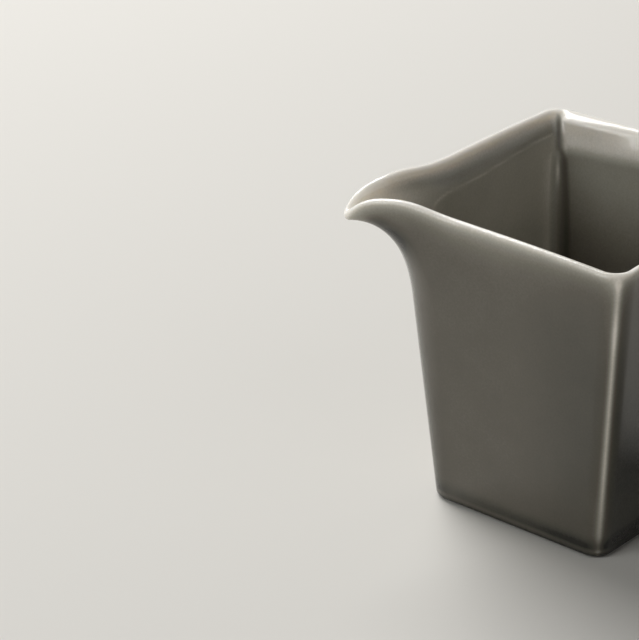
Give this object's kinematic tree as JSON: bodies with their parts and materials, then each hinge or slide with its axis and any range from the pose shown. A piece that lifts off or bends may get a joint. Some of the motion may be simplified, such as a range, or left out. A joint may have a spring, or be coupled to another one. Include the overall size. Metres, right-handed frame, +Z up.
{
  "type": "pouring jug",
  "caption": "Square tapered porcelain tea jug with a grey glaze, a drawn-out beak spout at one corner and a low bare foot ring.",
  "frame": {"origin": "middle of the bounding box's base, on the surface the jug stands on", "axes": "+Z up, -X from the body towards the spout's tip, the two side corners on a line along Y"},
  "size_m": [0.0988, 0.0912, 0.0767],
  "materials": {
    "glazed_porcelain": "glossy grey-green glaze",
    "bare_porcelain": "unglazed, fine-sanded"
  },
  "bodies": {
    "root": {"floor_slab": "glazed_porcelain", "foot_ring": "bare_porcelain", "front_left_wall": "glazed_porcelain", "front_right_wall": "glazed_porcelain", "back_right_wall": "glazed_porcelain", "back_left_wall": "glazed_porcelain", "spout": "glazed_porcelain", "floor_coil": "glazed_porcelain", "front_corner_coil": "glazed_porcelain", "rear_corner_coil": "glazed_porcelain", "back_corner_coil": "glazed_porcelain", "spout_corner_coil": "glazed_porcelain"}
  },
  "joints": []
}
